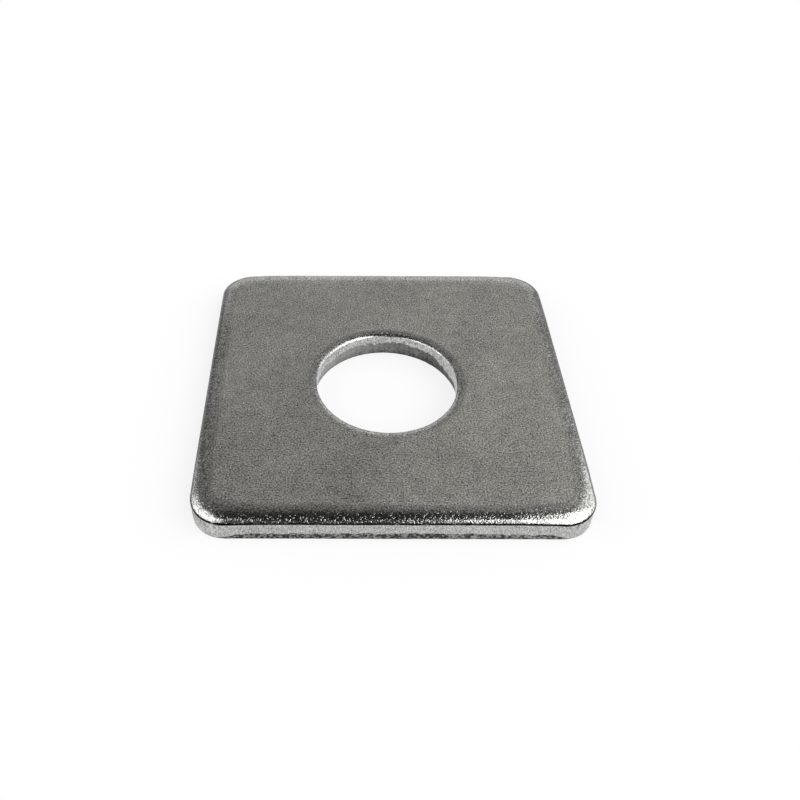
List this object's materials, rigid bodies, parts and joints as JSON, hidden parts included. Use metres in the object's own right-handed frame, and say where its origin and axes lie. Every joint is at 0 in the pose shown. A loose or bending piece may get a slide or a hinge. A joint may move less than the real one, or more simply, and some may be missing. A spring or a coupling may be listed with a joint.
{
  "type": "square plate washer",
  "caption": "Square steel plate washer with rounded corners and a round bolt hole. It spreads a bolt's load over the surface under it.",
  "frame": {"origin": "middle of the square's underside, the broken-out side that seats on the work", "axes": "+Z through the thickness towards the rounded face, +X and +Y along the square's sides. The hole lies 0.6 mm off the middle, towards -Y."},
  "size_m": [0.05, 0.05, 0.004],
  "materials": {
    "steel": "bare stamped steel, dull fine-grained faces, a bright rounded rim and a smooth cut band on each edge"
  },
  "bodies": {
    "root": {"plate_washer": "steel"}
  },
  "joints": []
}
